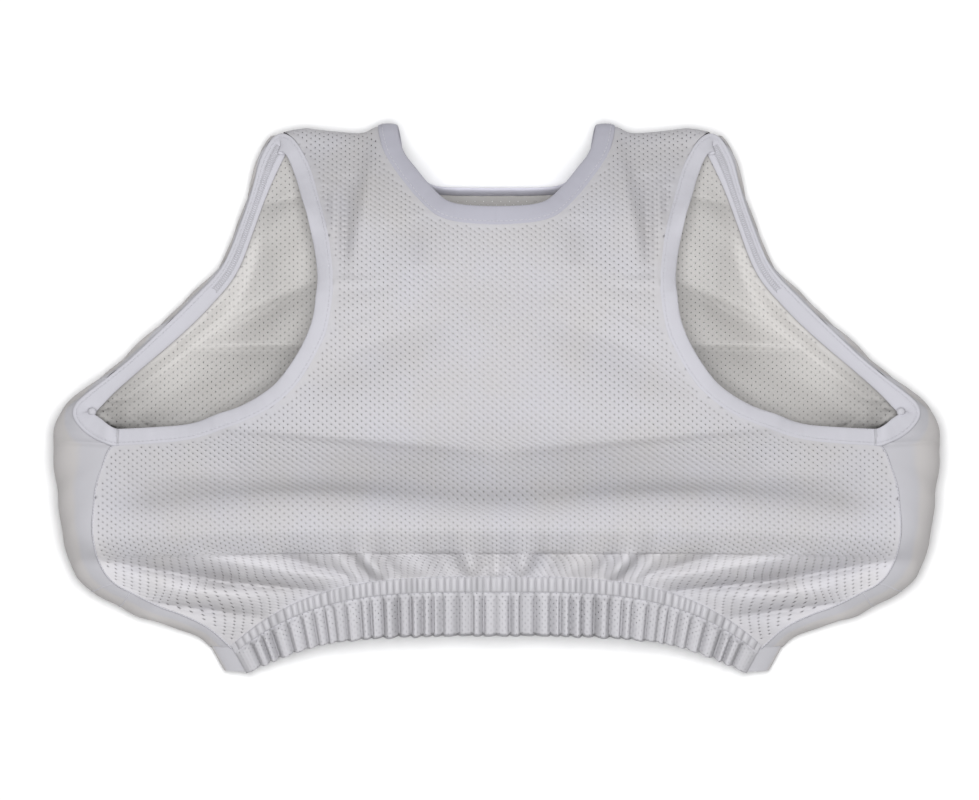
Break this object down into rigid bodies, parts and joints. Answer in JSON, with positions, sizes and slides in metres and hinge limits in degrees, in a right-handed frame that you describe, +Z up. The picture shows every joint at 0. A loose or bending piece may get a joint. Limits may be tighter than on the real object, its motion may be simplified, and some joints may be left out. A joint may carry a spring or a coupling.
{
  "type": "karate chest protector",
  "caption": "White mesh chest protector vest for karate, laid flat, with bound neck and armholes, smooth sides and a gathered elastic waistband.",
  "frame": {"origin": "under the middle of the vest, on the floor that its back lies on", "axes": "+X to the wearer's left, +Y from the waist to the neck, +Z up from the floor through the front"},
  "size_m": [0.5034, 0.3145, 0.082],
  "materials": {
    "mesh_knit": "white perforated sports mesh, matt",
    "smooth_knit": "white smooth stretch knit, matt",
    "binding_knit": "white folded knit binding, slight sheen",
    "gathered_casing": "white mesh gathered over elastic, matt"
  },
  "bodies": {
    "root": {"front_panel": "mesh_knit", "back_panel": "mesh_knit", "side_panel_left": "smooth_knit", "side_panel_right": "smooth_knit", "neck_band": "binding_knit", "armhole_band_front_left": "binding_knit", "armhole_band_front_right": "binding_knit", "armhole_band_back_left": "binding_knit", "armhole_band_back_right": "binding_knit", "waistband_front": "gathered_casing", "waistband_back": "gathered_casing", "waistband_side_left": "smooth_knit", "waistband_side_right": "smooth_knit"}
  },
  "joints": []
}
